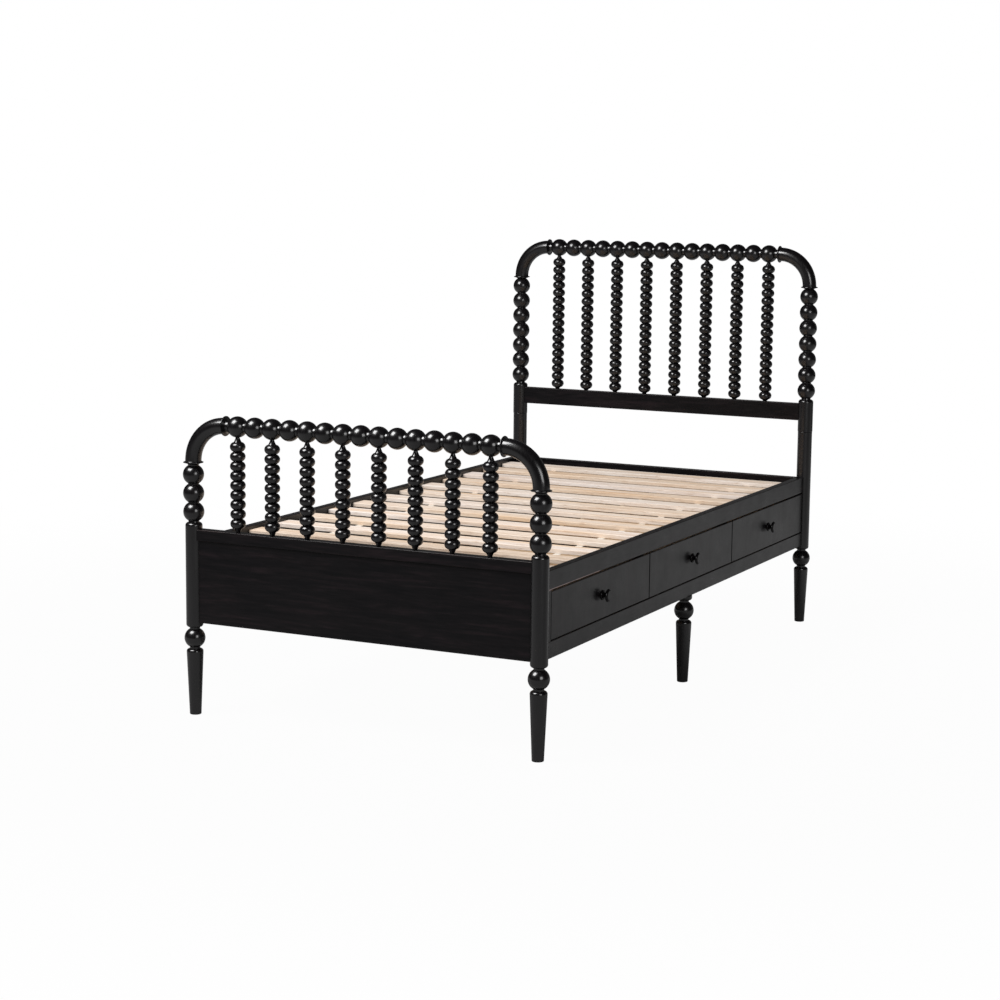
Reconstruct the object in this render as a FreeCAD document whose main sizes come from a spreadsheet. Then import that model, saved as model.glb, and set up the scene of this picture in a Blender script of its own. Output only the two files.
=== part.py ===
import FreeCAD, Part
import os
import Sketcher

# A turned spindle bed with three drawers under its deck.
#
# Frame: the origin is on the floor under the middle of the bed. +X is the side
# with the drawers, -Y the foot, +Y the head, +Z up. All sizes are millimetres.

SIZES = {
    # Plan of the bed
    "clear_width": 1000,        # between the side rails, for a 39 inch mattress
    "post_pitch": 2006,         # foot post axis to head post axis
    "post_offset": 4,           # post axis outside the middle of the rail
    "fit_gap": 0.2,             # play of glued and seated joints
    "arris": 1.5,               # rounding of the long edges of boards
    # Turned posts
    "post_dia": 46,
    "upper_post_dia": 47.8,     # head post above its joint
    "post_base": 241.5,         # underside of the posts
    "post_base_round": 8,
    "shoulder_round": 8.5,
    "foot_shoulder": 527.8,     # where the plain post ends and the beads begin
    "head_shoulder": 733.6,
    "head_joint": 629,          # lower head post meets upper head post
    "joint_round": 1.2,         # rounding of both ends at that joint
    "post_bead_rise": 28.4,     # shoulder to first bead centre
    "foot_bead_drop": 36.2,     # last bead centre to the bend
    "head_bead_drop": 33.5,
    "foot_post_beads": 3,
    "head_post_beads": 7,
    "bead_dia": 56.6,
    "core_dia": 29,             # between two beads
    "neck_dia": 30,             # between a bead and a shoulder or collar
    "collar_dia": 53.6,
    "collar_taper": 4.6,
    "collar_cove": 2.4,
    "collar_rim": 2,            # thickness of a collar's edge
    "collar_cove_radius": 16.8,
    "dowel_dia": 14,            # turned tenons that join posts, bends, rails and legs
    "dowel_length": 20,
    "bore_slack": 1,            # room at the bottom of a dowel's bore
    # Bends and beaded top rails
    "bend_radius": 100,
    "bend_dia": 43.6,
    "foot_rail_height": 793.4,  # axis of the foot top rail
    "head_rail_height": 1200,
    "rail_end": 40.5,           # bend to the first bead centre of a top rail
    # Legs
    "ball_dia": 56.6,
    "ball_height": 211.5,
    "leg_top": 182,
    "leg_top_dia": 45.5,
    "leg_top_round": 8,
    "leg_foot_dia": 31.5,
    "leg_foot_round": 2,
    "leg_neck_dia": 28,
    "middle_leg_inset": 7,      # middle leg axis inside the middle of the rail
    # Spindles
    "spindle_count": 8,
    "foot_spindle_beads": 9,
    "head_spindle_beads": 17,
    "spindle_dia": 41.4,
    "spindle_core_dia": 21,
    "tenon_dia": 11,
    "tenon_length": 15,
    "foot_spindle_drop": 53,    # top rail axis to first spindle bead
    "head_spindle_drop": 50,
    "foot_spindle_rise": 24,    # cap to last spindle bead
    "head_spindle_rise": 18.5,
    # Boards of the head and the foot
    "board_bottom": 255,        # underside of rails and panels
    "cap_top": 510.3,
    "cap_thick": 30,
    "cap_depth": 30,
    "panel_thick": 20,
    "head_rail_bottom": 665,
    "head_rail_width": 55,
    "head_rail_thick": 22,
    "head_panel_top": 477.3,
    # Side rails
    "rail_thick": 22,
    "rail_top": 482,
    "low_rail_width": 44,
    "high_rail_width": 50.4,
    "foot_stile": 51.5,         # foot post axis to the first drawer
    "head_stile": 27,           # last drawer to the head post axis
    # Deck
    "deck_top": 471.7,
    "slat_thick": 12,
    "slat_width": 66,
    "slat_pitch": 144.4,
    "slat_count": 13,
    "slat_play": 1,             # slat end to rail
    "strap_width": 18,
    "strap_thick": 1,
    "strap_left": 308,          # deck straps, left and right of the middle
    "strap_right": 382,
    "ledger_width": 20,
    "ledger_depth": 25,
    "spine_thick": 18,
    "partition_thick": 18,
    # Drawers
    "drawer_count": 3,
    "drawer_gap": 6,            # between two drawer fronts
    "drawer_reveal": 2.8,       # below a drawer front
    "drawer_headroom": 4.4,     # above a drawer front
    "drawer_stop": 0.3,         # closed front to the partitions
    "drawer_depth": 440,
    "box_thick": 12,
    "box_height": 100,
    "box_lift": 11,             # drawer box above the low rail
    "box_play": 5,              # drawer box to partition
    "runner_height": 12,
    "runner_bite": 5,           # how far a runner enters the side of a drawer
    "runner_gap": 0.4,
    "runner_rise": 40,          # underside of the drawer box to its runner groove
    "bottom_thick": 5,
    "bottom_rise": 8,
    "bottom_bite": 5,
    # Knobs
    "knob_base_dia": 27,
    "knob_base_thick": 3,
    "knob_waist_dia": 11,
    "knob_disc_dia": 35,
    "knob_disc_thick": 7.5,
    "knob_reach": 21,
    "knob_base_edge": 1.2,      # how far each edge of the knob draws in
    "knob_back_edge": 2.4,
    "knob_face_edge": 4.8,
    "knob_rim": 2.5,            # widest place of the disc, from its back
    "knob_stud_dia": 5,
    "knob_stud_gap": 0.3,
    # Bed bolts
    "bolt_dia": 8,
    "bolt_gap": 0.3,
    "bolt_in_post": 12,         # past the post axis, away from the rail
    "bolt_in_rail": 60,         # from the post axis into the rail
    "bolt_low": 22,             # above the underside of the rails
    "bolt_high": 28,            # below the top of the rails
}

doc = FreeCAD.newDocument("spindle_bed")
sheet = doc.addObject("Spreadsheet::Sheet", "size")
for row, (name, number) in enumerate(SIZES.items(), start=1):
    sheet.set(f"A{row}", name)
    sheet.set(f"B{row}", str(number))
    sheet.setAlias(f"B{row}", name)
doc.recompute()

# Places that follow from the sizes, as expressions.
POST_X = "(size.clear_width / 2 + size.rail_thick / 2 + size.post_offset)"
POST_Y = "(size.post_pitch / 2)"
RAIL_IN = "(size.clear_width / 2)"
RAIL_OUT = "(size.clear_width / 2 + size.rail_thick)"
RAIL_MID = "(size.clear_width / 2 + size.rail_thick / 2)"
BEAD_R = "(size.bead_dia / 2)"
CORE_R = "(size.core_dia / 2)"
NECK_R = "(size.neck_dia / 2)"
DOWEL_R = "(size.dowel_dia / 2)"
BORE_R = "(size.dowel_dia / 2 + size.fit_gap)"
BORE_DEPTH = "(size.dowel_length + size.bore_slack)"
TOP_BEADS = "(2 * size.spindle_count - 1)"
TOP_RAIL = f"(2 * ({POST_X} - size.bend_radius))"
TOP_PITCH = f"(({TOP_RAIL} - 2 * size.rail_end) / ({TOP_BEADS} - 1))"
CAP_BOTTOM = "(size.cap_top - size.cap_thick)"
HEAD_RAIL_TOP = "(size.head_rail_bottom + size.head_rail_width)"
LOW_RAIL_TOP = "(size.board_bottom + size.low_rail_width)"
HIGH_RAIL_BOTTOM = "(size.rail_top - size.high_rail_width)"
DECK_BOTTOM = "(size.deck_top - size.slat_thick)"
LEDGER_BOTTOM = f"({DECK_BOTTOM} - size.ledger_depth)"
PANEL_FACE = f"({POST_Y} - size.panel_thick / 2)"
BANK_START = f"(size.foot_stile - {POST_Y})"
BANK_END = f"({POST_Y} - size.head_stile)"
DRAWER_PITCH = f"(({BANK_END} - {BANK_START}) / size.drawer_count)"
BOX_BOTTOM = f"({LOW_RAIL_TOP} + size.box_lift)"
BOX_BACK = f"({RAIL_IN} - size.drawer_depth)"
FRONT_BACK = f"({RAIL_IN} + size.drawer_stop)"
FRONT_BOTTOM = f"({LOW_RAIL_TOP} + size.drawer_reveal)"
FRONT_TOP = f"({HIGH_RAIL_BOTTOM} - size.drawer_headroom)"
KNOB_HEIGHT = f"(({FRONT_BOTTOM} + {FRONT_TOP}) / 2)"
LOW_BOLT = "(size.board_bottom + size.bolt_low)"
HIGH_BOLT = "(size.rail_top - size.bolt_high)"

PARALLEL = 0.999  # least cosine between an edge and the axis that it runs along


def number(expression):
    """The present value of an expression in the sheet's sizes."""
    return float(sheet.evalExpression(expression))


def count(expression):
    """The present value of an expression that counts pieces or beads."""
    return int(round(number(expression)))


def new_body(label, x="0", y="0", z="0", rotation=None):
    """A sub-part with its own label, whose place follows three expressions."""
    body = doc.addObject("PartDesign::Body", label)
    body.Label = label
    body.AllowCompound = True
    if rotation:
        body.Placement = FreeCAD.Placement(FreeCAD.Vector(), rotation)
    for axis, expression in zip("xyz", (x, y, z)):
        body.setExpression(f"Placement.Base.{axis}", expression)
    return body


def new_sketch(body, plane, lift="0"):
    """A sketch on one of the body's own planes, lifted off it along the plane's normal."""
    support = next(item for item in body.Origin.OriginFeatures if item.Role == plane)
    sketch = body.newObject("Sketcher::SketchObject", "sketch")
    sketch.AttachmentSupport = [(support, "")]
    sketch.MapMode = "FlatFace"
    sketch.setExpression("AttachmentOffset.Base.z", lift)
    return sketch


def place_rules(geometry, end, u, v):
    """Dimensions of one end of a line or arc from the sketch's origin, with their expressions."""
    rules = []
    for kind, axis, expression in (("DistanceX", -2, u), ("DistanceY", -1, v)):
        if expression == "0":
            rules.append((Sketcher.Constraint("PointOnObject", geometry, end, axis), None))
        else:
            rule = Sketcher.Constraint(kind, -1, 1, geometry, end, number(expression))
            rules.append((rule, expression))
    return rules


def constrain(sketch, rules):
    """Add constraints to a sketch and bind those that have an expression."""
    first = sketch.ConstraintCount
    sketch.addConstraint([rule for rule, expression in rules])
    for index, (rule, expression) in enumerate(rules, start=first):
        if expression:
            sketch.setExpression(f"Constraints[{index}]", expression)


def draw(sketch, corners):
    """A closed outline, drawn anticlockwise. A corner is (u, v), reached by a straight line,
    or (u, v, "swell" or "hollow", radius), reached by an arc that bulges out or in."""
    places = [FreeCAD.Vector(number(corner[0]), number(corner[1]), 0) for corner in corners]
    first = sketch.GeometryCount
    shapes = []
    for index in range(1, len(corners) + 1):
        corner = corners[index % len(corners)]
        ends = (places[index - 1], places[index % len(corners)])
        if len(corner) == 2:
            shapes.append(Part.LineSegment(*ends))
        else:
            shapes.append(arc_between(*ends, corner[2], number(corner[3])))
    sketch.addGeometry(shapes, False)
    hollow = [len(corner) > 2 and corner[2] == "hollow" for corner in corners[1:] + corners[:1]]
    rules = []
    for index in range(len(shapes)):
        after = (index + 1) % len(shapes)
        end = 1 if hollow[index] else 2
        start = 2 if hollow[after] else 1
        join = Sketcher.Constraint("Coincident", first + index, end, first + after, start)
        rules.append((join, None))
    for index, corner in enumerate(corners):
        rules += place_rules(first + index, 2 if hollow[index] else 1, corner[0], corner[1])
        if len(corner) > 2:
            arc = first + (index - 1) % len(corners)
            rules.append((Sketcher.Constraint("Radius", arc, number(corner[3])), corner[3]))
    constrain(sketch, rules)


def arc_between(start, end, side, radius):
    """The shorter arc of a radius between two points."""
    chord = end - start
    middle = (start + end) * 0.5
    rise = max(radius ** 2 - chord.Length ** 2 / 4, 0.0) ** 0.5
    left = FreeCAD.Vector(-chord.y, chord.x, 0).normalize()
    centre = middle + left * (rise if side == "swell" else -rise)
    circle = Part.Circle(centre, FreeCAD.Vector(0, 0, 1), radius)
    ends = (start, end) if side == "swell" else (end, start)
    return Part.ArcOfCircle(circle, circle.parameter(ends[0]), circle.parameter(ends[1]))


def draw_circles(sketch, centres, radius):
    """Circles of one radius about centres given as pairs of expressions."""
    rules = []
    for u, v in centres:
        centre = FreeCAD.Vector(number(u), number(v), 0)
        circle = Part.Circle(centre, FreeCAD.Vector(0, 0, 1), number(radius))
        index = sketch.addGeometry(circle, False)
        rules += place_rules(index, 3, u, v)
        rules.append((Sketcher.Constraint("Radius", index, number(radius)), radius))
    constrain(sketch, rules)


def turn(body, outline, plane="XZ_Plane"):
    """Turn an outline of (radius, height) about the body's own Z axis."""
    sketch = new_sketch(body, plane)
    draw(sketch, outline)
    turned = body.newObject("PartDesign::Revolution", "turning")
    turned.Profile = sketch
    turned.ReferenceAxis = (sketch, ["V_Axis"])
    turned.Angle = 360
    return turned


def pad(body, sketch, length, reverse=False):
    """Thicken a sketch by a length."""
    padded = body.newObject("PartDesign::Pad", "pad")
    padded.Profile = sketch
    padded.setExpression("Length", length)
    padded.Reversed = reverse
    return padded


def bore(body, plane, lift, centres, radius, length, reverse=False):
    """Round holes that start at a lifted plane and run on for a length."""
    sketch = new_sketch(body, plane, lift)
    draw_circles(sketch, centres, radius)
    hole = body.newObject("PartDesign::Pocket", "bore")
    hole.Profile = sketch
    hole.setExpression("Length", length)
    hole.Reversed = reverse
    return hole


def repeat(body, feature, plane_axis, pitch, copies):
    """A row of equal copies of a feature along one of the body's own axes."""
    row = body.newObject("PartDesign::LinearPattern", "row")
    row.Originals = [feature]
    axis = next(item for item in body.Origin.OriginFeatures if item.Role == plane_axis)
    row.Direction = (axis, [""])
    row.Mode = "Spacing"
    row.setExpression("Offset", pitch)
    row.setExpression("Occurrences", copies)
    body.Tip = row
    return row


def ease(body, feature, direction):
    """Round the long edges of a board, which run along X, Y or Z."""
    doc.recompute()
    names = []
    for index, edge in enumerate(feature.Shape.Edges, start=1):
        if edge.Curve.TypeId == "Part::GeomLine":
            along = edge.tangentAt(edge.FirstParameter)
            if abs(getattr(along, direction)) > PARALLEL:
                names.append(f"Edge{index}")
    fillet = body.newObject("PartDesign::Fillet", "arris")
    fillet.Base = (feature, names)
    fillet.setExpression("Radius", "size.arris")
    return fillet


# ---------------------------------------------------------------- turned work

def beads(first, pitch, copies, radius, core):
    """Outline of a string of round beads upward from the first bead's centre."""
    half = f"sqrt({radius} ^ 2 - {core} ^ 2)"
    outline = []
    for index in range(copies):
        centre = f"({first} + {index} * {pitch})"
        outline.append((core, f"{centre} - {half}"))
        outline.append((core, f"{centre} + {half}", "swell", radius))
    return outline


def dowel(end, way):
    """Outline of a tenon that stands out of an end; way is + or -."""
    tip = f"{end} {way} size.dowel_length"
    outline = [(DOWEL_R, end), (DOWEL_R, tip), ("0", tip)]
    return outline if way == "+" else outline[::-1]


def socket(end):
    """Outline of a bore up into a piece from its lower end."""
    top = f"{end} + {BORE_DEPTH}"
    return [("0", top), (BORE_R, top), (BORE_R, end)]


def socket_down(end):
    """Outline of a bore down into a piece from its upper end."""
    floor = f"{end} - {BORE_DEPTH}"
    return [(BORE_R, end), (BORE_R, floor), ("0", floor)]


def post_foot(radius):
    """Outline of the rounded lower end of a post, over the leg's neck."""
    inner = f"{radius} - size.post_base_round"
    rise = "size.post_base + size.post_base_round"
    return [(inner, "size.post_base"), (radius, rise, "swell", "size.post_base_round")]


def shoulder(radius, height):
    """Outline of the rounded shoulder that ends a plain post."""
    return [
        (radius, f"{height} - size.shoulder_round"),
        (f"{radius} - size.shoulder_round", height, "swell", "size.shoulder_round"),
        (NECK_R, height),
    ]


def collar_up(end):
    """Outline of a thin collar that meets a bend above it."""
    edge = f"{end} - size.collar_cove"
    under = f"{edge} - size.collar_rim"
    return [
        (NECK_R, f"{under} - size.collar_taper"),
        ("size.collar_dia / 2", under, "hollow", "size.collar_dia / 2"),
        ("size.collar_dia / 2", edge, "swell", "size.collar_rim"),
        ("size.bend_dia / 2", end, "hollow", "size.collar_cove_radius"),
    ]


def bead_pitch(shoulder_height, drop, rail_height, copies):
    """Even spacing of a post's beads between its shoulder and its bend."""
    top = f"{rail_height} - size.bend_radius - {drop}"
    return f"(({top} - {shoulder_height} - size.post_bead_rise) / ({copies} - 1))"


def beaded_top(shoulder_height, drop, rail_height, copies, radius):
    """Outline of a post from its shoulder up through its beads to the bend."""
    end = f"({rail_height} - size.bend_radius)"
    pitch = bead_pitch(shoulder_height, drop, rail_height, copies)
    first = f"({shoulder_height} + size.post_bead_rise)"
    string = beads(first, pitch, count(copies), BEAD_R, CORE_R)
    return shoulder(radius, shoulder_height) + string + collar_up(end) + dowel(end, "+")


def bolt_holes(body, sign_x, sign_y):
    """Bores for the two bed bolts of a corner, from inside the post out to the rail."""
    across = f"{sign_x} * ({RAIL_MID} - {POST_X})"
    centres = [(across, LOW_BOLT), (across, HIGH_BOLT)]
    lift = f"{-sign_y} * (size.bolt_in_post + size.bolt_gap)"
    radius = "size.bolt_dia / 2 + size.bolt_gap"
    length = "size.post_dia + size.bolt_in_post"
    bore(body, "XZ_Plane", lift, centres, radius, length, reverse=sign_y > 0)


def foot_post(label, sign):
    body = new_body(label, f"{sign} * {POST_X}", f"-{POST_Y}")
    radius = "size.post_dia / 2"
    outline = socket("size.post_base") + post_foot(radius)
    outline += beaded_top("size.foot_shoulder", "size.foot_bead_drop", "size.foot_rail_height",
                          "size.foot_post_beads", radius)
    turn(body, outline)
    bolt_holes(body, sign, -1)
    return body


def head_post_lower(label, sign):
    body = new_body(label, f"{sign} * {POST_X}", POST_Y)
    radius = "size.post_dia / 2"
    outline = socket("size.post_base") + post_foot(radius)
    outline.append((radius, "size.head_joint - size.joint_round"))
    outline.append((f"{radius} - size.joint_round", "size.head_joint", "swell", "size.joint_round"))
    outline += socket_down("size.head_joint")
    turn(body, outline)
    bolt_holes(body, sign, 1)
    return body


def head_post_upper(label, sign):
    body = new_body(label, f"{sign} * {POST_X}", POST_Y)
    radius = "size.upper_post_dia / 2"
    outline = dowel("size.head_joint", "-")
    outline.append((f"{radius} - size.joint_round", "size.head_joint"))
    outline.append((radius, "size.head_joint + size.joint_round", "swell", "size.joint_round"))
    outline += beaded_top("size.head_shoulder", "size.head_bead_drop", "size.head_rail_height",
                          "size.head_post_beads", radius)
    turn(body, outline)
    return body


def bend(label, sign, y, rail_height):
    """A quarter ring between a post and a top rail, with a bore in each end."""
    turned_about = FreeCAD.Rotation(FreeCAD.Vector(0, 0, 1), 0 if sign > 0 else 180)
    x = f"{sign} * ({POST_X} - size.bend_radius)"
    body = new_body(label, x, y, f"{rail_height} - size.bend_radius", turned_about)
    sketch = new_sketch(body, "XY_Plane")
    draw_circles(sketch, [("size.bend_radius", "0")], "size.bend_dia / 2")
    ring = body.newObject("PartDesign::Revolution", "ring")
    ring.Profile = sketch
    ring.ReferenceAxis = (sketch, ["V_Axis"])
    ring.Angle = 90
    ring.Reversed = True
    bore(body, "XY_Plane", "0", [("size.bend_radius", "0")], BORE_R, BORE_DEPTH, reverse=True)
    bore(body, "YZ_Plane", "0", [("0", "size.bend_radius")], BORE_R, BORE_DEPTH, reverse=True)
    return body


def spindle_place(index):
    """How far along a top rail, from its middle, a spindle stands."""
    return f"({2 * index + 1} - size.spindle_count) * {TOP_PITCH}"


def top_rail(label, y, rail_height):
    """A beaded rail, turned about its length, bored from below for the spindles."""
    lying = FreeCAD.Rotation(FreeCAD.Vector(0, 1, 0), 90)
    body = new_body(label, f"-{TOP_RAIL} / 2", y, rail_height, lying)
    collar = collar_up(TOP_RAIL)
    inside = "size.collar_cove + size.collar_rim"
    mirrored = [
        ("size.bend_dia / 2", "0"),
        ("size.collar_dia / 2", "size.collar_cove", "hollow", "size.collar_cove_radius"),
        ("size.collar_dia / 2", inside, "swell", "size.collar_rim"),
        (NECK_R, f"{inside} + size.collar_taper", "hollow", "size.collar_dia / 2"),
    ]
    string = beads("size.rail_end", TOP_PITCH, count(TOP_BEADS), BEAD_R, CORE_R)
    turn(body, dowel("0", "-") + mirrored + string + collar + dowel(TOP_RAIL, "+"))
    centres = []
    for index in range(count("size.spindle_count")):
        centres.append(("0", f"{TOP_RAIL} / 2 + {spindle_place(index)}"))
    lift = f"{BEAD_R} - size.tenon_length - size.fit_gap"
    radius = "size.tenon_dia / 2 + size.fit_gap"
    bore(body, "YZ_Plane", lift, centres, radius, BEAD_R, reverse=True)
    return body


def spindle(label, index, y, low, high, drop, rise, copies):
    """A spindle of flattened beads between a lower board and a top rail."""
    body = new_body(label, spindle_place(index), y)
    core = "size.spindle_core_dia / 2"
    first = f"({low} + {rise})"
    pitch = f"(({high} - {drop} - {first}) / ({copies} - 1))"
    swell = f"(size.spindle_dia / 2 - {core})"
    radius = f"(({pitch} ^ 2 / 4 + {swell} ^ 2) / (2 * {swell}))"
    bottom = f"({low} - size.tenon_length)"
    rail_bottom = f"({high} - {BEAD_R})"
    top = f"({rail_bottom} + size.tenon_length)"
    tenon = "size.tenon_dia / 2"
    outline = [("0", bottom), (tenon, bottom), (tenon, low)]
    cove = "size.spindle_dia"
    outline.append((core, f"{first} - {pitch} / 2", "hollow", cove))
    for bead in range(count(copies)):
        outline.append((core, f"{first} + {bead} * {pitch} + {pitch} / 2", "swell", radius))
    outline += [(tenon, rail_bottom, "hollow", cove), (tenon, top), ("0", top)]
    turn(body, outline)
    return body


def leg_outline():
    """Outline of a tapered leg and its ball, from the floor to the neck's top."""
    foot = "size.leg_foot_dia / 2"
    top = "size.leg_top_dia / 2"
    neck = "size.leg_neck_dia / 2"
    outline = [("0", "0"), (f"{foot} - size.leg_foot_round", "0")]
    outline.append((foot, "size.leg_foot_round", "swell", "size.leg_foot_round"))
    outline.append((top, "size.leg_top - size.leg_top_round"))
    outline.append((f"{top} - size.leg_top_round", "size.leg_top", "swell", "size.leg_top_round"))
    outline.append((neck, "size.leg_top"))
    ball = beads("size.ball_height", "0", 1, "(size.ball_dia / 2)", f"({neck})")
    return outline + ball + [(neck, "size.post_base")]


def leg(label, sign_x, sign_y):
    """A leg whose tenon stands in the post over it."""
    body = new_body(label, f"{sign_x} * {POST_X}", f"{sign_y} * {POST_Y}")
    turn(body, leg_outline() + dowel("size.post_base", "+"))
    return body


def middle_leg(label):
    """A leg under the middle of the drawer side, with a round block under the rail."""
    body = new_body(label, f"{RAIL_MID} - size.middle_leg_inset")
    block = post_foot("size.post_dia / 2")
    block += [("size.post_dia / 2", "size.board_bottom"), ("0", "size.board_bottom")]
    turn(body, leg_outline() + block)
    return body


# --------------------------------------------------------------------- boards

def reach(post_dia, across):
    """From a post's axis to a board's end that is hollowed to fit the post."""
    return f"sqrt(({post_dia} / 2 + size.fit_gap) ^ 2 - ({across}) ^ 2)"


def cross_board(label, y, thick, bottom, width, post_dia):
    """A board between two posts, hollowed at both ends to fit them."""
    body = new_body(label, "0", y, bottom)
    end = f"({POST_X} - {reach(post_dia, f'{thick} / 2')})"
    radius = f"{post_dia} / 2 + size.fit_gap"
    sketch = new_sketch(body, "XY_Plane")
    draw(sketch, [
        (f"-{end}", f"{thick} / 2"),
        (f"-{end}", f"-{thick} / 2", "hollow", radius),
        (end, f"-{thick} / 2"),
        (end, f"{thick} / 2", "hollow", radius),
    ])
    ease(body, pad(body, sketch, width), "x")
    return body


def tenon_holes(body, width):
    """Bores in the top of a cross board for the spindles' lower tenons."""
    centres = [(spindle_place(index), "0") for index in range(count("size.spindle_count"))]
    lift = f"{width} - size.tenon_length - size.fit_gap"
    radius = "size.tenon_dia / 2 + size.fit_gap"
    bore(body, "XY_Plane", lift, centres, radius, width, reverse=True)


def side_rail(label, sign, bottom, width, bolt_height):
    """A side rail, hollowed at both ends to fit the posts and bored for its bed bolts."""
    body = new_body(label, "0", "0", bottom)
    inner = f"({POST_Y} - {reach('size.post_dia', f'{POST_X} - {RAIL_IN}')})"
    outer = f"({POST_Y} - {reach('size.post_dia', f'{POST_X} - {RAIL_OUT}')})"
    radius = "size.post_dia / 2 + size.fit_gap"
    sketch = new_sketch(body, "XY_Plane")
    near = f"{sign} * {RAIL_IN}"
    far = f"{sign} * {RAIL_OUT}"
    draw(sketch, [
        (near, f"-{sign} * {inner}"),
        (far, f"-{sign} * {outer}", "hollow", radius),
        (far, f"{sign} * {outer}"),
        (near, f"{sign} * {inner}", "hollow", radius),
    ])
    ease(body, pad(body, sketch, width), "y")
    centres = [(f"{sign} * {RAIL_MID}", f"{height} - {bottom}") for height in bolt_height]
    start = f"({POST_Y} - size.bolt_in_rail - size.bolt_gap)"
    hole = "size.bolt_dia / 2 + size.bolt_gap"
    bore(body, "XZ_Plane", start, centres, hole, "size.bolt_in_rail", reverse=True)
    bore(body, "XZ_Plane", f"-{start}", centres, hole, "size.bolt_in_rail")
    return body


def rectangle(u, v, wide, high):
    """Corners of a rectangle from its low corner, anticlockwise."""
    return [(u, v), (f"{u} + {wide}", v), (f"{u} + {wide}", f"{v} + {high}"), (u, f"{v} + {high}")]


def side_stiles():
    """The two upright strips that end the drawer bank against the posts."""
    body = new_body("drawer_bank_stiles", "0", "0", f"{LOW_RAIL_TOP} + size.fit_gap")
    radius = "size.post_dia / 2 + size.fit_gap"
    inner = f"({POST_Y} - {reach('size.post_dia', f'{POST_X} - {RAIL_IN}')})"
    outer = f"({POST_Y} - {reach('size.post_dia', f'{POST_X} - {RAIL_OUT}')})"
    sketch = new_sketch(body, "XY_Plane")
    draw(sketch, [
        (RAIL_IN, BANK_START),
        (RAIL_IN, f"-{inner}"),
        (RAIL_OUT, f"-{outer}", "hollow", radius),
        (RAIL_OUT, BANK_START),
    ])
    draw(sketch, [
        (RAIL_IN, BANK_END),
        (RAIL_OUT, BANK_END),
        (RAIL_OUT, outer),
        (RAIL_IN, inner, "hollow", radius),
    ])
    pad(body, sketch, f"{HIGH_RAIL_BOTTOM} - {LOW_RAIL_TOP} - 2 * size.fit_gap")
    return body


def ledgers():
    """Strips along the inside of the rails, clear of the posts, that carry the slats and the
    partitions."""
    end = f"({POST_Y} - size.post_dia / 2 - size.fit_gap)"
    body = new_body("rail_ledgers", "0", end)
    sketch = new_sketch(body, "XZ_Plane")
    left = f"-{RAIL_IN}"
    right = f"{RAIL_IN} - size.ledger_width"
    draw(sketch, rectangle(left, LEDGER_BOTTOM, "size.ledger_width", "size.ledger_depth"))
    draw(sketch, rectangle(right, LEDGER_BOTTOM, "size.ledger_width", "size.ledger_depth"))
    draw(sketch, rectangle(right, "size.board_bottom", "size.ledger_width", "size.ledger_depth"))
    pad(body, sketch, f"2 * {end}")
    return body


def centre_spine():
    """The board under the middle of the slats that closes the back of the drawer bank."""
    body = new_body("centre_spine", "0", PANEL_FACE)
    sketch = new_sketch(body, "XZ_Plane")
    high = f"{DECK_BOTTOM} - size.board_bottom"
    draw(sketch, rectangle("-size.spine_thick / 2", "size.board_bottom", "size.spine_thick", high))
    pad(body, sketch, f"2 * {PANEL_FACE}")
    return body


def partitions():
    """Upright boards between and beside the drawers, standing on the low ledger."""
    low = "(size.board_bottom + size.ledger_depth)"
    start = f"{BANK_START} - size.partition_thick / 2"
    body = new_body("drawer_partitions", "size.spine_thick / 2", start, low)
    sketch = new_sketch(body, "XY_Plane")
    wide = f"{RAIL_IN} - size.spine_thick / 2"
    draw(sketch, rectangle("0", "0", wide, "size.partition_thick"))
    board = pad(body, sketch, f"{LEDGER_BOTTOM} - {low}")
    repeat(body, board, "Y_Axis", DRAWER_PITCH, "size.drawer_count + 1")
    return body


def runners():
    """Strips on the partitions that run in the grooves of the drawer sides."""
    body = new_body("drawer_runners", BOX_BACK, BANK_START)
    low = f"({BOX_BOTTOM} + size.runner_rise)"
    reach_in = "(size.box_play + size.runner_bite)"
    first = "size.partition_thick / 2"
    second = f"{DRAWER_PITCH} - size.partition_thick / 2 - {reach_in}"
    sketch = new_sketch(body, "YZ_Plane")
    draw(sketch, rectangle(first, low, reach_in, "size.runner_height"))
    draw(sketch, rectangle(second, low, reach_in, "size.runner_height"))
    strips = pad(body, sketch, "size.drawer_depth")
    repeat(body, strips, "Y_Axis", DRAWER_PITCH, "size.drawer_count")
    return body


def slats():
    """The deck: a row of equal boards across the bed."""
    start = "-(size.slat_count - 1) / 2 * size.slat_pitch - size.slat_width / 2"
    half = f"({RAIL_IN} - size.slat_play)"
    body = new_body("deck_slats", f"-{half}", start, DECK_BOTTOM)
    sketch = new_sketch(body, "YZ_Plane")
    edge = "size.arris"
    draw(sketch, [
        ("0", edge),
        (edge, "0", "swell", edge),
        (f"size.slat_width - {edge}", "0"),
        ("size.slat_width", edge, "swell", edge),
        ("size.slat_width", f"size.slat_thick - {edge}"),
        (f"size.slat_width - {edge}", "size.slat_thick", "swell", edge),
        (edge, "size.slat_thick"),
        ("0", f"size.slat_thick - {edge}", "swell", edge),
    ])
    board = pad(body, sketch, f"2 * {half}")
    repeat(body, board, "Y_Axis", "size.slat_pitch", "size.slat_count")
    return body


def straps():
    """Two flat straps under the slats, which keep them evenly spaced."""
    half = "((size.slat_count - 1) / 2 * size.slat_pitch + size.slat_width / 2)"
    body = new_body("deck_straps", "0", f"-{half}", f"{DECK_BOTTOM} - size.strap_thick")
    sketch = new_sketch(body, "XY_Plane")
    wide = "size.strap_width"
    draw(sketch, rectangle(f"-size.strap_left - {wide} / 2", "0", wide, f"2 * {half}"))
    draw(sketch, rectangle(f"size.strap_right - {wide} / 2", "0", wide, f"2 * {half}"))
    pad(body, sketch, "size.strap_thick")
    return body


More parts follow.
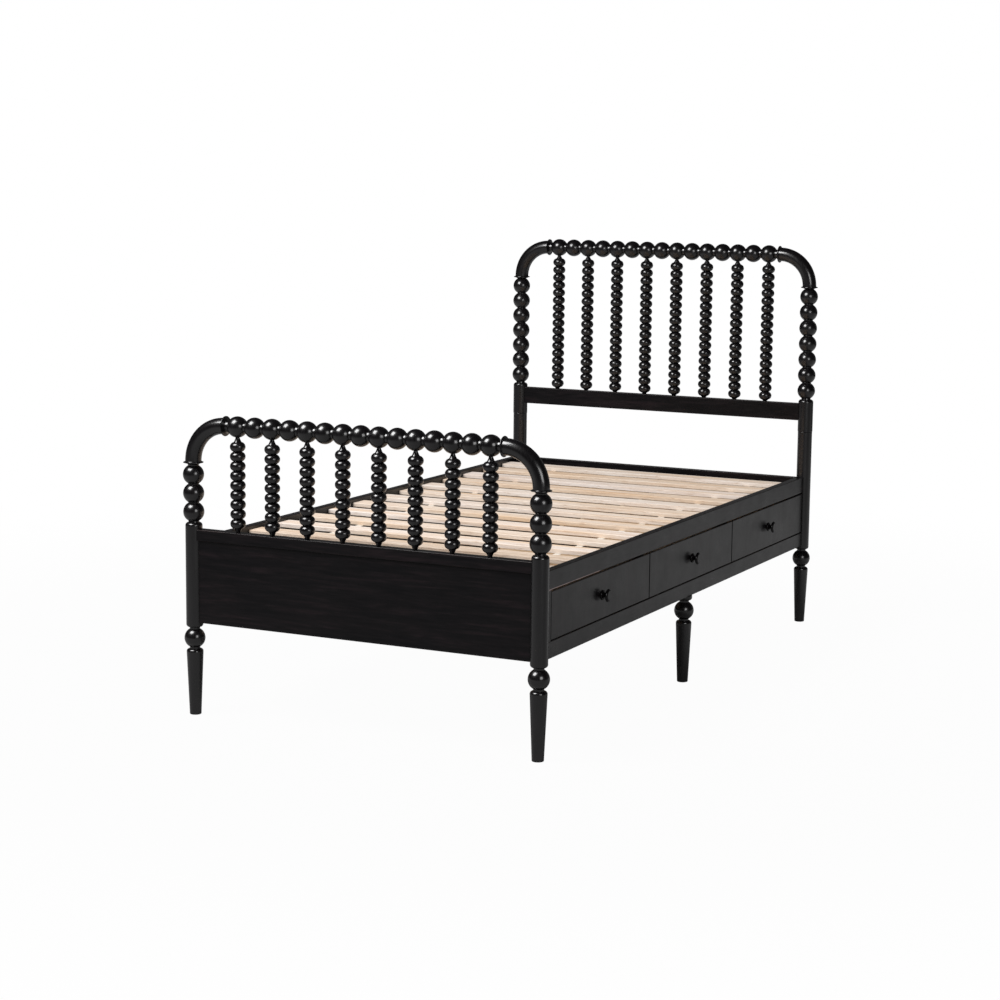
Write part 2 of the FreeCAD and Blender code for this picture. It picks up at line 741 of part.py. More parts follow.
def bed_bolts():
    """Plain threaded rods that draw the side rails against the posts, two to a corner."""
    body = new_body("bed_bolts", "0", f"-{POST_Y} - size.bolt_in_post")
    sides = (f"-{RAIL_MID}", RAIL_MID)
    centres = [(side, height) for side in sides for height in (LOW_BOLT, HIGH_BOLT)]
    sketch = new_sketch(body, "XZ_Plane")
    draw_circles(sketch, centres, "size.bolt_dia / 2")
    length = "(size.bolt_in_post + size.bolt_in_rail)"
    rods = pad(body, sketch, length, reverse=True)
    repeat(body, rods, "Y_Axis", f"size.post_pitch + 2 * size.bolt_in_post - {length}", "2")
    return body


# -------------------------------------------------------------------- drawers

def drawer_start(index):
    """Where a drawer's bay begins along the bed."""
    return f"({BANK_START} + {index} * {DRAWER_PITCH})"


def drawer_front(label, index):
    start = f"{drawer_start(index)} + size.drawer_gap / 2"
    body = new_body(label, FRONT_BACK, start, FRONT_BOTTOM)
    sketch = new_sketch(body, "XY_Plane")
    wide = f"({DRAWER_PITCH} - size.drawer_gap)"
    high = f"({FRONT_TOP} - {FRONT_BOTTOM})"
    draw(sketch, rectangle("0", "0", "size.rail_thick - size.drawer_stop", wide))
    ease(body, pad(body, sketch, high), "y")
    middle = (f"{wide} / 2", f"{high} / 2")
    radius = "size.knob_stud_dia / 2 + size.knob_stud_gap"
    bore(body, "YZ_Plane", "0", [middle], radius, "size.rail_thick", reverse=True)
    return body


def drawer_box(label, index):
    """Two sides with runner and bottom grooves, and a back between them."""
    start = f"{drawer_start(index)} + size.partition_thick / 2 + size.box_play"
    body = new_body(label, BOX_BACK, start, BOX_BOTTOM)
    wide = f"({DRAWER_PITCH} - size.partition_thick - 2 * size.box_play)"
    runner_low = "size.runner_rise - size.runner_gap"
    runner_high = "size.runner_rise + size.runner_height + size.runner_gap"
    runner_deep = "size.runner_bite + size.runner_gap"
    bottom_low = "size.bottom_rise - size.fit_gap"
    bottom_high = "size.bottom_rise + size.bottom_thick + size.fit_gap"
    bottom_in = "size.box_thick - size.bottom_bite - size.fit_gap"
    sketch = new_sketch(body, "YZ_Plane")
    draw(sketch, [
        ("0", "0"),
        ("size.box_thick", "0"),
        ("size.box_thick", bottom_low),
        (bottom_in, bottom_low),
        (bottom_in, bottom_high),
        ("size.box_thick", bottom_high),
        ("size.box_thick", "size.box_height"),
        ("0", "size.box_height"),
        ("0", runner_high),
        (runner_deep, runner_high),
        (runner_deep, runner_low),
        ("0", runner_low),
    ])
    draw(sketch, [
        (wide, "0"),
        (wide, runner_low),
        (f"{wide} - ({runner_deep})", runner_low),
        (f"{wide} - ({runner_deep})", runner_high),
        (wide, runner_high),
        (wide, "size.box_height"),
        (f"{wide} - size.box_thick", "size.box_height"),
        (f"{wide} - size.box_thick", bottom_high),
        (f"{wide} - ({bottom_in})", bottom_high),
        (f"{wide} - ({bottom_in})", bottom_low),
        (f"{wide} - size.box_thick", bottom_low),
        (f"{wide} - size.box_thick", "0"),
    ])
    pad(body, sketch, f"{FRONT_BACK} - {BOX_BACK} - size.fit_gap")
    back = new_sketch(body, "YZ_Plane")
    inner = f"{wide} - 2 * size.box_thick - 2 * size.fit_gap"
    low = "(size.bottom_rise + size.bottom_thick + size.fit_gap)"
    draw(back, rectangle("size.box_thick + size.fit_gap", low, inner, f"size.box_height - {low}"))
    pad(body, back, "size.box_thick")
    return body


def drawer_bottom(label, index):
    start = f"{drawer_start(index)} + size.partition_thick / 2 + size.box_play"
    inset = "(size.box_thick - size.bottom_bite)"
    body = new_body(label, BOX_BACK, f"{start} + {inset}", f"{BOX_BOTTOM} + size.bottom_rise")
    wide = f"{DRAWER_PITCH} - size.partition_thick - 2 * size.box_play - 2 * {inset}"
    sketch = new_sketch(body, "XY_Plane")
    deep = f"{FRONT_BACK} - {BOX_BACK} - size.fit_gap"
    draw(sketch, rectangle("0", "0", deep, wide))
    pad(body, sketch, "size.bottom_thick")
    return body


def drawer_knob(label, index):
    """A turned mushroom knob with a stud through the drawer front."""
    forward = FreeCAD.Rotation(FreeCAD.Vector(0, 1, 0), 90)
    middle = f"{drawer_start(index)} + {DRAWER_PITCH} / 2"
    body = new_body(label, RAIL_OUT, middle, KNOB_HEIGHT, forward)
    stud = "size.knob_stud_dia / 2"
    tail = "-size.rail_thick + size.drawer_stop"
    base = "size.knob_base_dia / 2"
    waist = "size.knob_waist_dia / 2"
    disc = "size.knob_disc_dia / 2"
    disc_back = "(size.knob_reach - size.knob_disc_thick)"
    rim = f"({disc_back} + size.knob_rim)"
    turn(body, [
        ("0", tail),
        (stud, tail),
        (stud, "0"),
        (base, "0"),
        (f"{base} - size.knob_base_edge", "size.knob_base_thick", "swell", "size.knob_base_thick"),
        (waist, f"(size.knob_base_thick + {disc_back}) / 2", "hollow", "size.knob_waist_dia"),
        (f"{disc} - size.knob_back_edge", disc_back, "hollow", "size.knob_waist_dia"),
        (disc, rim, "swell", "size.knob_disc_thick"),
        (f"{disc} - size.knob_face_edge", "size.knob_reach", "swell", "size.knob_disc_thick"),
        ("0", "size.knob_reach"),
    ])
    return body


# ------------------------------------------------------------------- assembly

nodes = []
for side, sign in (("left", -1), ("right", 1)):
    nodes.append(foot_post(f"foot_post_{side}", sign))
    nodes.append(head_post_lower(f"head_post_lower_{side}", sign))
    nodes.append(head_post_upper(f"head_post_upper_{side}", sign))
    nodes.append(bend(f"foot_bend_{side}", sign, f"-{POST_Y}", "size.foot_rail_height"))
    nodes.append(bend(f"head_bend_{side}", sign, POST_Y, "size.head_rail_height"))
    nodes.append(leg(f"foot_leg_{side}", sign, -1))
    nodes.append(leg(f"head_leg_{side}", sign, 1))
nodes.append(middle_leg("middle_leg"))
nodes.append(top_rail("foot_top_rail", f"-{POST_Y}", "size.foot_rail_height"))
nodes.append(top_rail("head_top_rail", POST_Y, "size.head_rail_height"))
for index in range(count("size.spindle_count")):
    nodes.append(spindle(f"foot_spindle_{index + 1}", index, f"-{POST_Y}", "size.cap_top",
                         "size.foot_rail_height", "size.foot_spindle_drop",
                         "size.foot_spindle_rise", "size.foot_spindle_beads"))
    nodes.append(spindle(f"head_spindle_{index + 1}", index, POST_Y, HEAD_RAIL_TOP,
                         "size.head_rail_height", "size.head_spindle_drop",
                         "size.head_spindle_rise", "size.head_spindle_beads"))

cap = cross_board("foot_cap_rail", f"-{POST_Y}", "size.cap_depth", CAP_BOTTOM,
                  "size.cap_thick", "size.post_dia")
tenon_holes(cap, "size.cap_thick")
lower_rail = cross_board("head_lower_rail", POST_Y, "size.head_rail_thick",
                         "size.head_rail_bottom", "size.head_rail_width",
                         "size.upper_post_dia")
tenon_holes(lower_rail, "size.head_rail_width")
nodes += [cap, lower_rail]
nodes.append(cross_board("foot_panel", f"-{POST_Y}", "size.panel_thick", "size.board_bottom",
                         f"{CAP_BOTTOM} - size.board_bottom", "size.post_dia"))
nodes.append(cross_board("head_panel", POST_Y, "size.panel_thick", "size.board_bottom",
                         "size.head_panel_top - size.board_bottom", "size.post_dia"))

nodes.append(side_rail("side_rail_left", -1, "size.board_bottom",
                       "size.rail_top - size.board_bottom", [LOW_BOLT, HIGH_BOLT]))
nodes.append(side_rail("side_rail_right_lower", 1, "size.board_bottom",
                       "size.low_rail_width", [LOW_BOLT]))
nodes.append(side_rail("side_rail_right_upper", 1, HIGH_RAIL_BOTTOM,
                       "size.high_rail_width", [HIGH_BOLT]))
nodes += [side_stiles(), ledgers(), centre_spine(), partitions(), runners()]
nodes += [slats(), straps(), bed_bolts()]
for index in range(count("size.drawer_count")):
    nodes.append(drawer_front(f"drawer_{index + 1}_front", index))
    nodes.append(drawer_box(f"drawer_{index + 1}_box", index))
    nodes.append(drawer_bottom(f"drawer_{index + 1}_bottom", index))
    nodes.append(drawer_knob(f"drawer_{index + 1}_knob", index))

doc.recompute()
for item in doc.Objects:
    if "Invalid" in item.State or "Error" in item.State:
        raise RuntimeError(f"{item.Name} of {item.Label} failed: {item.State}")
os.makedirs("parts", exist_ok=True)
for body in nodes:
    if body.Shape.isNull() or not body.Shape.isValid():
        raise RuntimeError(f"{body.Label} has no valid shape")
    body.Shape.exportStep(f"parts/{body.Label}.step")
    print(body.Label, len(body.Shape.Solids), round(body.Shape.Volume))
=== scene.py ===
import math

import bpy
from mathutils import Matrix, Vector


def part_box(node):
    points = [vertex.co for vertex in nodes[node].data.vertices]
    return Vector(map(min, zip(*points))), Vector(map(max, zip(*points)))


# The looks of a black turned spindle bed with three drawers and a slatted deck.
# Metres. The origin is on the floor under the bed's middle: +X is the drawer side,
# -Y the foot, +Y the head, +Z up.

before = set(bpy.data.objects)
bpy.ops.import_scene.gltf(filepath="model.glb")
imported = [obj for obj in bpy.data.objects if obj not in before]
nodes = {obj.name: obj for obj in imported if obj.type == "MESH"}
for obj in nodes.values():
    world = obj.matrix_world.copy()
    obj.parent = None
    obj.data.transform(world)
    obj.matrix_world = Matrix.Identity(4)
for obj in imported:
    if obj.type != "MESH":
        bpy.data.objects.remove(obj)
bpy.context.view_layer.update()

# --------------------------------------------------------------------- camera

CAMERA_PLACE = Vector((2.9240, -6.1140, 1.5235))
CAMERA_AZIMUTH = math.radians(26.274)     # from +Y towards -X
CAMERA_ELEVATION = math.radians(8.635)    # how far it looks down
CAMERA_ROLL = math.radians(-0.614)
CAMERA_LENS = 82.92                       # millimetres, as is the sensor
CAMERA_SENSOR = 36.0
CAMERA_REACH = 100.0


def make_camera():
    """A camera that looks along an azimuth, down by an elevation, with a slight roll."""
    ahead = Vector((
        -math.sin(CAMERA_AZIMUTH) * math.cos(CAMERA_ELEVATION),
        math.cos(CAMERA_AZIMUTH) * math.cos(CAMERA_ELEVATION),
        -math.sin(CAMERA_ELEVATION),
    ))
    right = Vector((math.cos(CAMERA_AZIMUTH), math.sin(CAMERA_AZIMUTH), 0.0))
    down = ahead.cross(right)
    image_right = right * math.cos(CAMERA_ROLL) + down * math.sin(CAMERA_ROLL)
    image_down = down * math.cos(CAMERA_ROLL) - right * math.sin(CAMERA_ROLL)
    data = bpy.data.cameras.new("camera")
    data.lens = CAMERA_LENS
    data.sensor_width = CAMERA_SENSOR
    data.clip_end = CAMERA_REACH
    camera = bpy.data.objects.new("camera", data)
    turn = Matrix((image_right, -image_down, -ahead)).transposed().to_4x4()
    camera.matrix_world = Matrix.Translation(CAMERA_PLACE) @ turn
    bpy.context.scene.collection.objects.link(camera)
    bpy.context.scene.camera = camera


make_camera()

# ---------------------------------------------------------------------- nodes

# The places of a Mix node's sockets where it mixes colours.
MIX_FACTOR, MIX_FIRST, MIX_SECOND, MIX_RESULT = 0, 6, 7, 2


class Nodes:
    """A node tree and short ways to build in it. An input is a socket, a number or a tuple."""

    def __init__(self, tree):
        self.tree = tree

    def node(self, kind, **settings):
        """A new node with its settings."""
        made = self.tree.nodes.new(kind)
        for key, setting in settings.items():
            setattr(made, key, setting)
        return made

    def feed(self, socket, source):
        """Link a socket to an input, or set it. A colour gets an alpha of one."""
        if isinstance(source, bpy.types.NodeSocket):
            self.tree.links.new(source, socket)
        elif isinstance(source, tuple) and len(source) < len(socket.default_value):
            socket.default_value = (*source, 1.0)
        else:
            socket.default_value = source

    def math(self, operation, first, second=0.0, *others):
        """An operation on one or two inputs, carried on with what it gives through any others."""
        made = self.node("ShaderNodeMath", operation=operation)
        self.feed(made.inputs[0], first)
        self.feed(made.inputs[1], second)
        if others:
            return self.math(operation, made.outputs[0], *others)
        return made.outputs[0]

    def vector_math(self, operation, first, second=None):
        """The outputs of a vector operation, with a second input where it takes one."""
        made = self.node("ShaderNodeVectorMath", operation=operation)
        self.feed(made.inputs[0], first)
        if second is not None:
            self.feed(made.inputs["Scale" if operation == "SCALE" else 1], second)
        return made.outputs

    def split(self, vector):
        """The three parts of a vector."""
        made = self.node("ShaderNodeSeparateXYZ")
        self.feed(made.inputs[0], vector)
        return made.outputs

    def stretch(self, vector, scale):
        """A vector scaled along each axis."""
        made = self.node("ShaderNodeMapping")
        self.feed(made.inputs["Vector"], vector)
        self.feed(made.inputs["Scale"], scale)
        return made.outputs["Vector"]

    def noise(self, vector, scale, detail, roughness=0.55, distortion=0.0):
        """A noise texture, with values about a half."""
        made = self.node("ShaderNodeTexNoise")
        self.feed(made.inputs["Vector"], vector)
        self.feed(made.inputs["Scale"], scale)
        self.feed(made.inputs["Detail"], detail)
        self.feed(made.inputs["Roughness"], roughness)
        self.feed(made.inputs["Distortion"], distortion)
        return made.outputs["Fac"]

    def ramp(self, factor, stops):
        """Colours along a factor, each stop a place and a colour."""
        made = self.node("ShaderNodeValToRGB")
        band = made.color_ramp
        while len(band.elements) < len(stops):
            band.elements.new(0.5)    # moved to its own place below
        for element, (place, colour) in zip(band.elements, stops):
            element.position = place
            element.color = (*colour, 1.0)
        self.feed(made.inputs["Fac"], factor)
        return made.outputs["Color"]

    def spread(self, factor, span, values, easing="LINEAR"):
        """A factor carried from one span onto another, and held at its ends."""
        made = self.node("ShaderNodeMapRange", interpolation_type=easing)
        for place, source in enumerate((factor, *span, *values)):
            self.feed(made.inputs[place], source)
        return made.outputs["Result"]

    def mix(self, factor, first, second, blend="MIX"):
        """Two colours blended by a factor."""
        made = self.node("ShaderNodeMix", data_type="RGBA", blend_type=blend)
        self.feed(made.inputs[MIX_FACTOR], factor)
        self.feed(made.inputs[MIX_FIRST], first)
        self.feed(made.inputs[MIX_SECOND], second)
        return made.outputs[MIX_RESULT]

    def bump(self, height, strength, distance, under=None):
        """A normal roughened by a height, over another bump where there is one."""
        made = self.node("ShaderNodeBump")
        self.feed(made.inputs["Height"], height)
        self.feed(made.inputs["Strength"], strength)
        self.feed(made.inputs["Distance"], distance)
        if under:
            self.feed(made.inputs["Normal"], under)
        return made.outputs["Normal"]


# ------------------------------------------------------------- studio and light

bpy.context.scene.view_settings.view_transform = "Standard"

AMBIENT = 0.5    # what the studio's walls and ceiling give to matt surfaces

# What gloss sees: the walls' level by a reflection's Y, from the camera's side to past the
# head of the bed, and the share of it that is left overhead, by the reflection's Z.
WALLS = ((0.45, 0.95), (0.02, 0.12))
CEILING = ((0.1, 0.6), (1.0, 0.35))

# The floor as light and gloss see it: paler towards the head, then dark again, by Y.
FLOOR_SIZE = 60.0
FLOOR_RISE = ((-1.6, 3.4), (0.22, 0.58))
FLOOR_FALL = ((3.4, 5.6), (1.0, 0.12))

# The share of the floor that is plain white to the camera, by the distance from the origin.
# The rest of it shows the shadow.
FLOOR_WHITE = ((1.6, 3.6), (0.97, 1.0))


def area_light(name, place, target, size, power):
    """A square softbox that faces a point."""
    data = bpy.data.lights.new(name, "AREA")
    data.shape = "SQUARE"
    data.size = size
    data.energy = power
    lamp = bpy.data.objects.new(name, data)
    lamp.location = place
    lamp.rotation_euler = (Vector(target) - Vector(place)).to_track_quat("-Z", "Y").to_euler()
    bpy.context.scene.collection.objects.link(lamp)


def make_world():
    """White where it is looked at, plain grey as light, and a dim gradient in gloss."""
    world = bpy.data.worlds.new("studio")
    bpy.context.scene.world = world
    world.use_nodes = True
    world.cycles.sampling_method = "NONE"
    world.node_tree.nodes.clear()
    net = Nodes(world.node_tree)
    towards = net.split(net.node("ShaderNodeTexCoord").outputs["Generated"])
    wall = net.spread(towards[1], *WALLS, "SMOOTHSTEP")
    ceiling = net.spread(towards[2], *CEILING, "SMOOTHSTEP")
    path = net.node("ShaderNodeLightPath").outputs
    looked_at = net.math("MAXIMUM", path["Is Camera Ray"], path["Is Transmission Ray"])
    gloss = net.math("MULTIPLY", wall, ceiling, path["Is Glossy Ray"])
    matt = net.math("MULTIPLY", path["Is Diffuse Ray"], AMBIENT)
    level = net.math("ADD", gloss, matt, looked_at)
    light = net.node("ShaderNodeBackground")
    net.feed(light.inputs["Color"], (1, 1, 1))
    net.feed(light.inputs["Strength"], level)
    out = net.node("ShaderNodeOutputWorld")
    net.feed(out.inputs[0], light.outputs[0])


def make_floor():
    """A wide pale floor that is white to the camera and keeps a faint shadow."""
    mesh = bpy.data.meshes.new("floor")
    half = FLOOR_SIZE / 2
    corners = [(-half, -half, 0), (half, -half, 0), (half, half, 0), (-half, half, 0)]
    mesh.from_pydata(corners, [], [(0, 1, 2, 3)])
    floor = bpy.data.objects.new("floor", mesh)
    bpy.context.scene.collection.objects.link(floor)
    material = bpy.data.materials.new("floor")
    material.use_nodes = True
    material.cycles.emission_sampling = "NONE"
    material.node_tree.nodes.clear()
    net = Nodes(material.node_tree)
    place = net.node("ShaderNodeTexCoord").outputs["Object"]
    rise = net.spread(net.split(place)[1], *FLOOR_RISE, "SMOOTHSTEP")
    fall = net.spread(net.split(place)[1], *FLOOR_FALL, "SMOOTHSTEP")
    pale = net.math("MULTIPLY", rise, fall)
    paint = net.node("ShaderNodeBsdfDiffuse")
    net.feed(paint.inputs["Color"], pale)
    glow = net.node("ShaderNodeEmission")
    distance = net.vector_math("LENGTH", place)["Value"]
    white = net.spread(distance, *FLOOR_WHITE, "SMOOTHSTEP")
    looked_at = net.node("ShaderNodeLightPath").outputs["Is Camera Ray"]
    shown = net.node("ShaderNodeMixShader")
    net.feed(shown.inputs[0], net.math("MULTIPLY", white, looked_at))
    net.feed(shown.inputs[1], paint.outputs[0])
    net.feed(shown.inputs[2], glow.outputs[0])
    out = net.node("ShaderNodeOutputMaterial")
    net.feed(out.inputs[0], shown.outputs[0])
    mesh.materials.append(material)


area_light("key", place=(-1.7, -2.75, 3.9), target=(0.0, -0.1, 0.5), size=2.2, power=265.0)
area_light("fill", place=(4.4, -3.8, 2.2), target=(0.0, 0.0, 0.5), size=2.2, power=85.0)
make_world()
make_floor()

# ------------------------------------------------------------------- materials

# How much finer the lacquered wood's grain is across than along it, for each direction.
ACROSS = 14.0
ALONG_X = (1.0, ACROSS, ACROSS)
ALONG_Y = (ACROSS, 1.0, ACROSS)
ALONG_Z = (ACROSS, ACROSS, 1.0)

# Spans of a noise: its middle part, where most of it lies, and the whole.
MIDDLE = (0.3, 0.7)
WHOLE = (0.0, 1.0)

# Values of a mask over a span.
FADE_IN = (0.0, 1.0)
FADE_OUT = (1.0, 0.0)


class Finish(Nodes):
    """A Principled material, with the base colour and the smudges that looks build on."""

    def __init__(self, name):
        self.material = bpy.data.materials.new(name)
        self.material.use_nodes = True
        super().__init__(self.material.node_tree)
        self.surface = self.tree.nodes["Principled BSDF"].inputs
        self.place = self.node("ShaderNodeTexCoord").outputs["Object"]
        self.colour = None
        self.smudge = None

    def set(self, **sockets):
        """Feed the shader's sockets, named with _ for a space."""
        for name, source in sockets.items():
            self.feed(self.surface[name.replace("_", " ")], source)

    def paint(self, colour):
        """Take a base colour."""
        self.colour = colour
        self.set(Base_Color=colour)


LACQUER_LINES = ((0.3, (0.0022, 0.0020, 0.0023)), (0.7, (0.0052, 0.0045, 0.0050)))
LACQUER_CLOUDS = ((0.3, (0.8, 0.8, 0.86)), (0.7, (1.2, 1.1, 1.12)))
PORE_ROUGHNESS = (-0.04, 0.04)
PIECE_SHIFT = 7.0    # moves each piece to a place of its own in the noises


def black_lacquer(name, grain, rough=(0.23, 0.30), shine=0.5, coat=0.4, relief=0.04):
    """Satin black lacquer with the wood's grain telegraphing through along one axis."""
    finish = Finish(name)
    random = finish.node("ShaderNodeObjectInfo").outputs["Random"]
    shift = finish.math("MULTIPLY", random, PIECE_SHIFT)
    place = finish.vector_math("ADD", finish.place, shift)[0]
    along = finish.stretch(place, grain)
    lines = finish.noise(along, scale=22.0, detail=6.0, roughness=0.6, distortion=0.3)
    cloud = finish.noise(place, scale=6.0, detail=3.0)
    finish.smudge = finish.noise(place, scale=13.0, detail=5.0, roughness=0.6)
    peel = finish.noise(place, scale=700.0, detail=2.0)
    tint = finish.ramp(lines, LACQUER_LINES)
    tone = finish.ramp(cloud, LACQUER_CLOUDS)
    finish.paint(finish.mix(1.0, tint, tone, "MULTIPLY"))
    pores = finish.spread(lines, MIDDLE, PORE_ROUGHNESS)
    finish.set(Roughness=finish.math("ADD", finish.spread(finish.smudge, MIDDLE, rough), pores))
    skin = finish.bump(peel, strength=0.02, distance=0.0002)
    finish.set(Normal=finish.bump(lines, strength=relief, distance=0.0004, under=skin))
    finish.set(Specular_IOR_Level=shine, Coat_Weight=coat, Coat_Roughness=0.1)
    return finish


BOARD_ROUGHNESS = (0.28, 0.36)
BOARD_RELIEF = 0.14
# Grain streaks in the boards' base colour, up to two and a half times lighter: painted sheen
# along the grain.
BOARD_GRAIN_SHEEN = (
    (0.36, (0.6, 0.62, 0.7)),
    (0.52, (1.1, 1.05, 1.05)),
    (0.68, (2.5, 1.9, 1.95)),
)
ARRIS = (0.97, 0.84)    # a normal's longest part, where the rounding starts and well into it
WORN_PATCHES = ((0.48, 0.62), (0.1, 0.8))    # the wear that shows, by the smudges
WORN_WOOD = (0.030, 0.016, 0.013)


def board_lacquer(name, grain, shine, coat):
    """The lacquer of flat boards, with grain streaks lightened as painted sheen, rubbed through
    to brown wood along their rounded arrises.
    """
    finish = black_lacquer(name, grain, BOARD_ROUGHNESS, shine, coat, BOARD_RELIEF)
    along = finish.stretch(finish.place, grain)
    figure = finish.noise(along, scale=5.0, detail=6.0, roughness=0.66, distortion=0.6)
    # Painted sheen: the grain streaks lighten the black base colour.
    grain_sheen = finish.ramp(figure, BOARD_GRAIN_SHEEN)
    figured_with_sheen = finish.mix(1.0, finish.colour, grain_sheen, "MULTIPLY")
    normal = finish.node("ShaderNodeTexCoord").outputs["Normal"]
    sides = finish.split(finish.vector_math("ABSOLUTE", normal)[0])
    arris = finish.spread(finish.math("MAXIMUM", *sides), ARRIS, FADE_IN)
    patchy = finish.spread(finish.smudge, *WORN_PATCHES)
    wear = finish.math("MULTIPLY", arris, patchy)
    finish.paint(finish.mix(wear, figured_with_sheen, WORN_WOOD))
    return finish


EDGE_LINE_HEIGHT = 0.0014    # the pale line is full up to here over the board's edge, gone at twice
EDGE_LINE_RAGGED = (-0.35, 0.35)
EDGE_LINE_SPAN = (0.25, 0.6)
# Pinkish bare wood, made pale as a painted highlight where the rounded arris catches the light.
RUBBED_WOOD_AND_HIGHLIGHT = (0.36, 0.27, 0.26)


def rubbed_edge_and_highlight(finish, node, start, end):
    """Rubbed-through wood lightened by a painted highlight along the lower outer arris of a
    board, fading out between two places in Y.
    """
    low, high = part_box(node)
    place = finish.split(finish.place)
    near = finish.spread(place[2], (low.z + EDGE_LINE_HEIGHT, low.z + 2 * EDGE_LINE_HEIGHT), FADE_OUT)
    above = finish.spread(place[2], (low.z - EDGE_LINE_HEIGHT, low.z), FADE_IN)
    outer = finish.spread(place[0], (high.x - 3 * EDGE_LINE_HEIGHT, high.x - EDGE_LINE_HEIGHT), FADE_IN)
    along = finish.spread(place[1], (start, end), FADE_OUT)
    ragged = finish.math("ADD", along, finish.spread(finish.smudge, MIDDLE, EDGE_LINE_RAGGED))
    shown = finish.spread(ragged, EDGE_LINE_SPAN, FADE_IN)
    band = finish.math("MULTIPLY", near, above, outer)
    # The painted highlight: the pale colour laid along the arris band.
    finish.paint(finish.mix(finish.math("MULTIPLY", band, shown), finish.colour, RUBBED_WOOD_AND_HIGHLIGHT))


SLAT_SHIFT = 9.0    # moves each slat to a place of its own in the noises
SLAT_GRAIN = (0.7, 13.0, 13.0)
SLAT_WOOD = (
    (0.28, (0.54, 0.42, 0.325)),
    (0.42, (0.65, 0.56, 0.48)),
    (0.6, (0.71, 0.65, 0.595)),
    (0.8, (0.745, 0.705, 0.67)),
)
SLAT_HEART = (
    (0.33, (0.98, 0.82, 0.64)),
    (0.5, (1.0, 0.97, 0.94)),
    (0.75, (1.02, 1.0, 1.0)),
)
SLAT_TONES = (
    (0.0, (1.03, 1.03, 1.06)),
    (0.45, (1.0, 0.99, 0.98)),
    (1.0, (0.97, 0.88, 0.78)),
)
SLAT_LINES = ((0.36, (0.72, 0.62, 0.54)), (0.46, (1.0, 1.0, 1.0)))
SLAT_ROUGHNESS = (0.55, 0.75)
HEART_SHARE = 0.9
ROW_SHARE, OWN_SHARE = 0.6, 0.4    # of a slat's tone, from its odd or even place and its own


def slat_wood(pitch):
    """Bare sanded softwood: cream to tan, each slat with its own tone and grain."""
    finish = Finish("slat_wood")
    row = finish.math("ROUND", finish.math("DIVIDE", finish.split(finish.place)[1], pitch))
    random = finish.node("ShaderNodeTexWhiteNoise", noise_dimensions="1D")
    finish.feed(random.inputs["W"], row)
    shift = finish.vector_math("SCALE", random.outputs["Color"], SLAT_SHIFT)[0]
    moved = finish.vector_math("ADD", finish.place, shift)[0]
    along = finish.stretch(moved, SLAT_GRAIN)
    grain = finish.noise(along, scale=6.0, detail=7.0, roughness=0.62, distortion=0.4)
    broad = finish.noise(along, scale=1.6, detail=3.0, roughness=0.5, distortion=0.2)
    fibre = finish.noise(along, scale=40.0, detail=4.0, roughness=0.7)
    base = finish.ramp(grain, SLAT_WOOD)
    heart = finish.ramp(broad, SLAT_HEART)
    every_other = finish.math("PINGPONG", row, 1.0)
    own = finish.math("MULTIPLY", random.outputs["Value"], OWN_SHARE)
    tan_share = finish.math("ADD", finish.math("MULTIPLY", every_other, ROW_SHARE), own)
    tone = finish.ramp(tan_share, SLAT_TONES)
    thin_lines = finish.ramp(fibre, SLAT_LINES)
    colour = finish.mix(HEART_SHARE, base, heart, "MULTIPLY")
    colour = finish.mix(1.0, colour, thin_lines, "MULTIPLY")
    finish.paint(finish.mix(1.0, colour, tone, "MULTIPLY"))
    finish.set(Roughness=finish.spread(fibre, WHOLE, SLAT_ROUGHNESS))
    finish.set(Normal=finish.bump(grain, strength=0.15, distance=0.0006), Specular_IOR_Level=0.3)
    return finish.material


DRAWER_GRAIN = (1.0, 9.0, 9.0)
DRAWER_WOOD = (
    (0.3, (0.50, 0.35, 0.22)),
    (0.5, (0.66, 0.50, 0.34)),
    (0.72, (0.74, 0.60, 0.44)),
)
DRAWER_ROUGHNESS = (0.5, 0.65)


def drawer_wood():
    """Pale sanded board for the insides that are not lacquered."""
    finish = Finish("drawer_wood")
    along = finish.stretch(finish.place, DRAWER_GRAIN)
    grain = finish.noise(along, scale=7.0, detail=6.0, roughness=0.6, distortion=0.5)
    finish.paint(finish.ramp(grain, DRAWER_WOOD))
    finish.set(Roughness=finish.spread(grain, WHOLE, DRAWER_ROUGHNESS))
    finish.set(Normal=finish.bump(grain, strength=0.12, distance=0.0004))
    return finish.material


WEAVE_SCALE = 260.0
WEBBING_THREADS = ((0.2, (0.58, 0.52, 0.44)), (0.8, (0.74, 0.69, 0.62)))
WEBBING_ROUGHNESS = (0.8, 0.95)


def webbing():
    """Woven cream strap."""
    finish = Finish("webbing")
    weave = finish.node("ShaderNodeTexWave", bands_direction="DIAGONAL")
    finish.feed(weave.inputs["Vector"], finish.place)
    finish.feed(weave.inputs["Scale"], WEAVE_SCALE)
    threads = weave.outputs["Fac"]
    finish.paint(finish.ramp(threads, WEBBING_THREADS))
    finish.set(Roughness=finish.spread(threads, WHOLE, WEBBING_ROUGHNESS))
    finish.set(Normal=finish.bump(threads, strength=0.3, distance=0.0004), Sheen_Weight=0.2)
    return finish.material


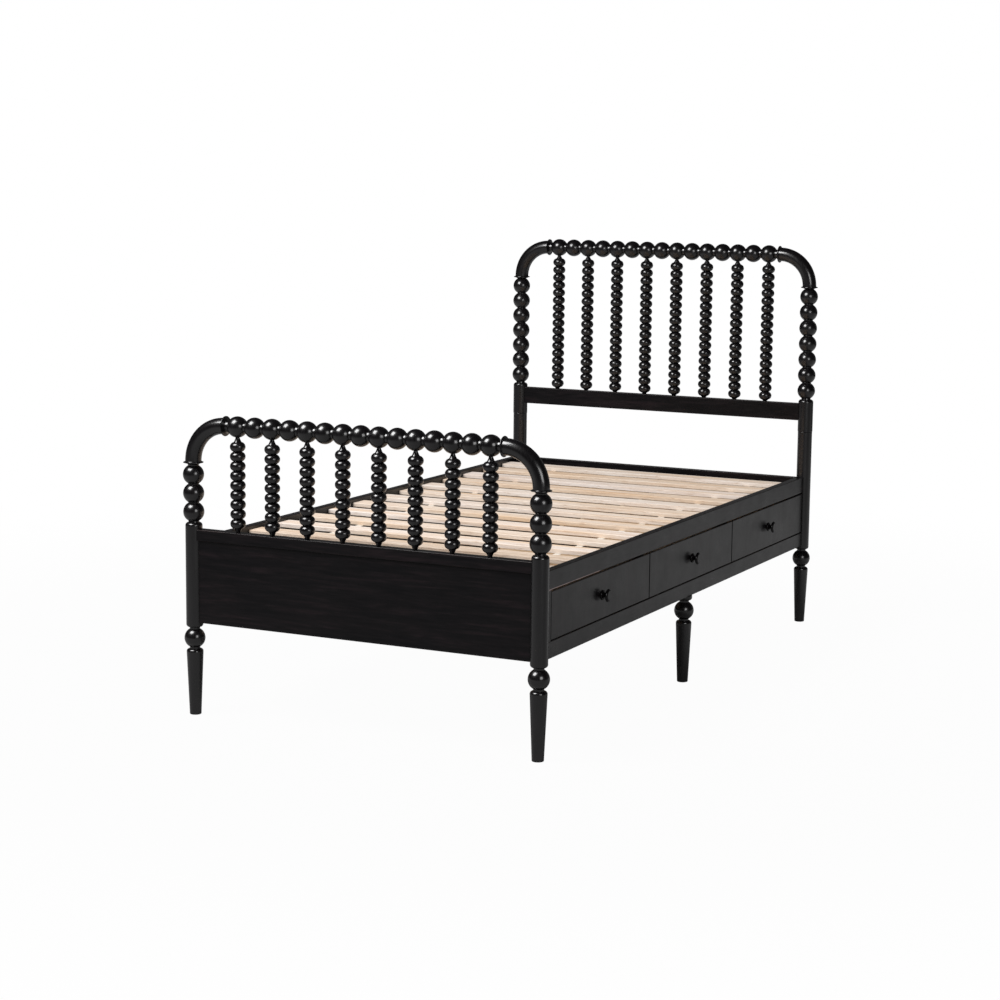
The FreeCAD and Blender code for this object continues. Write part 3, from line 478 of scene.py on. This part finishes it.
BOLT_GRAIN = (30.0, 1.0, 30.0)
BOLT_MARKS = ((0.3, (0.42, 0.42, 0.43)), (0.7, (0.62, 0.62, 0.62)))
BOLT_ROUGHNESS = (0.3, 0.5)


def bolt_steel():
    """Zinc plated steel with fine marks."""
    finish = Finish("bolt_steel")
    marks = finish.noise(finish.stretch(finish.place, BOLT_GRAIN), scale=40.0, detail=4.0)
    finish.paint(finish.ramp(marks, BOLT_MARKS))
    finish.set(Roughness=finish.spread(marks, WHOLE, BOLT_ROUGHNESS), Metallic=1.0)
    return finish.material


SLAT_COUNT = 13
SLAT_WIDTH = 0.066
slats_low, slats_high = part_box("deck_slats")
slat_pitch = (slats_high.y - slats_low.y - SLAT_WIDTH) / (SLAT_COUNT - 1)

KNOB_ROUGHNESS = (0.18, 0.24)
EDGE_LINE_START, EDGE_LINE_END = -0.95, -0.45    # the line of rubbed wood and painted highlight fades out between these places in Y

across = board_lacquer("black_lacquer_across", ALONG_X, shine=0.2, coat=0.0).material
along_finish = board_lacquer("black_lacquer_along", ALONG_Y, shine=0.3, coat=0.1)
rubbed_edge_and_highlight(along_finish, "side_rail_right_upper", EDGE_LINE_START, EDGE_LINE_END)
along = along_finish.material
fronts = board_lacquer("black_lacquer_fronts", ALONG_Z, shine=0.3, coat=0.1).material
turned = black_lacquer("black_lacquer_turned", ALONG_Z).material
knob_black = black_lacquer("knob_lacquer", ALONG_X, KNOB_ROUGHNESS, shine=0.12, coat=0.2).material
inner_wood = drawer_wood()
OWN_LOOKS = {
    "deck_slats": slat_wood(slat_pitch),
    "deck_straps": webbing(),
    "bed_bolts": bolt_steel(),
}


def look_of(name):
    """The material that a CAD node is finished in."""
    if name in OWN_LOOKS:
        return OWN_LOOKS[name]
    if name.endswith(("_box", "_bottom")) or name == "drawer_runners":
        return inner_wood
    if name.endswith("_knob"):
        return knob_black
    if name.endswith("_front"):
        return fronts
    if any(word in name for word in ("post", "spindle", "leg", "bend", "top_rail")):
        return turned
    if name.startswith(("foot_", "head_")):
        return across
    return along


for name, piece in nodes.items():
    piece.data.materials.clear()
    piece.data.materials.append(look_of(name))
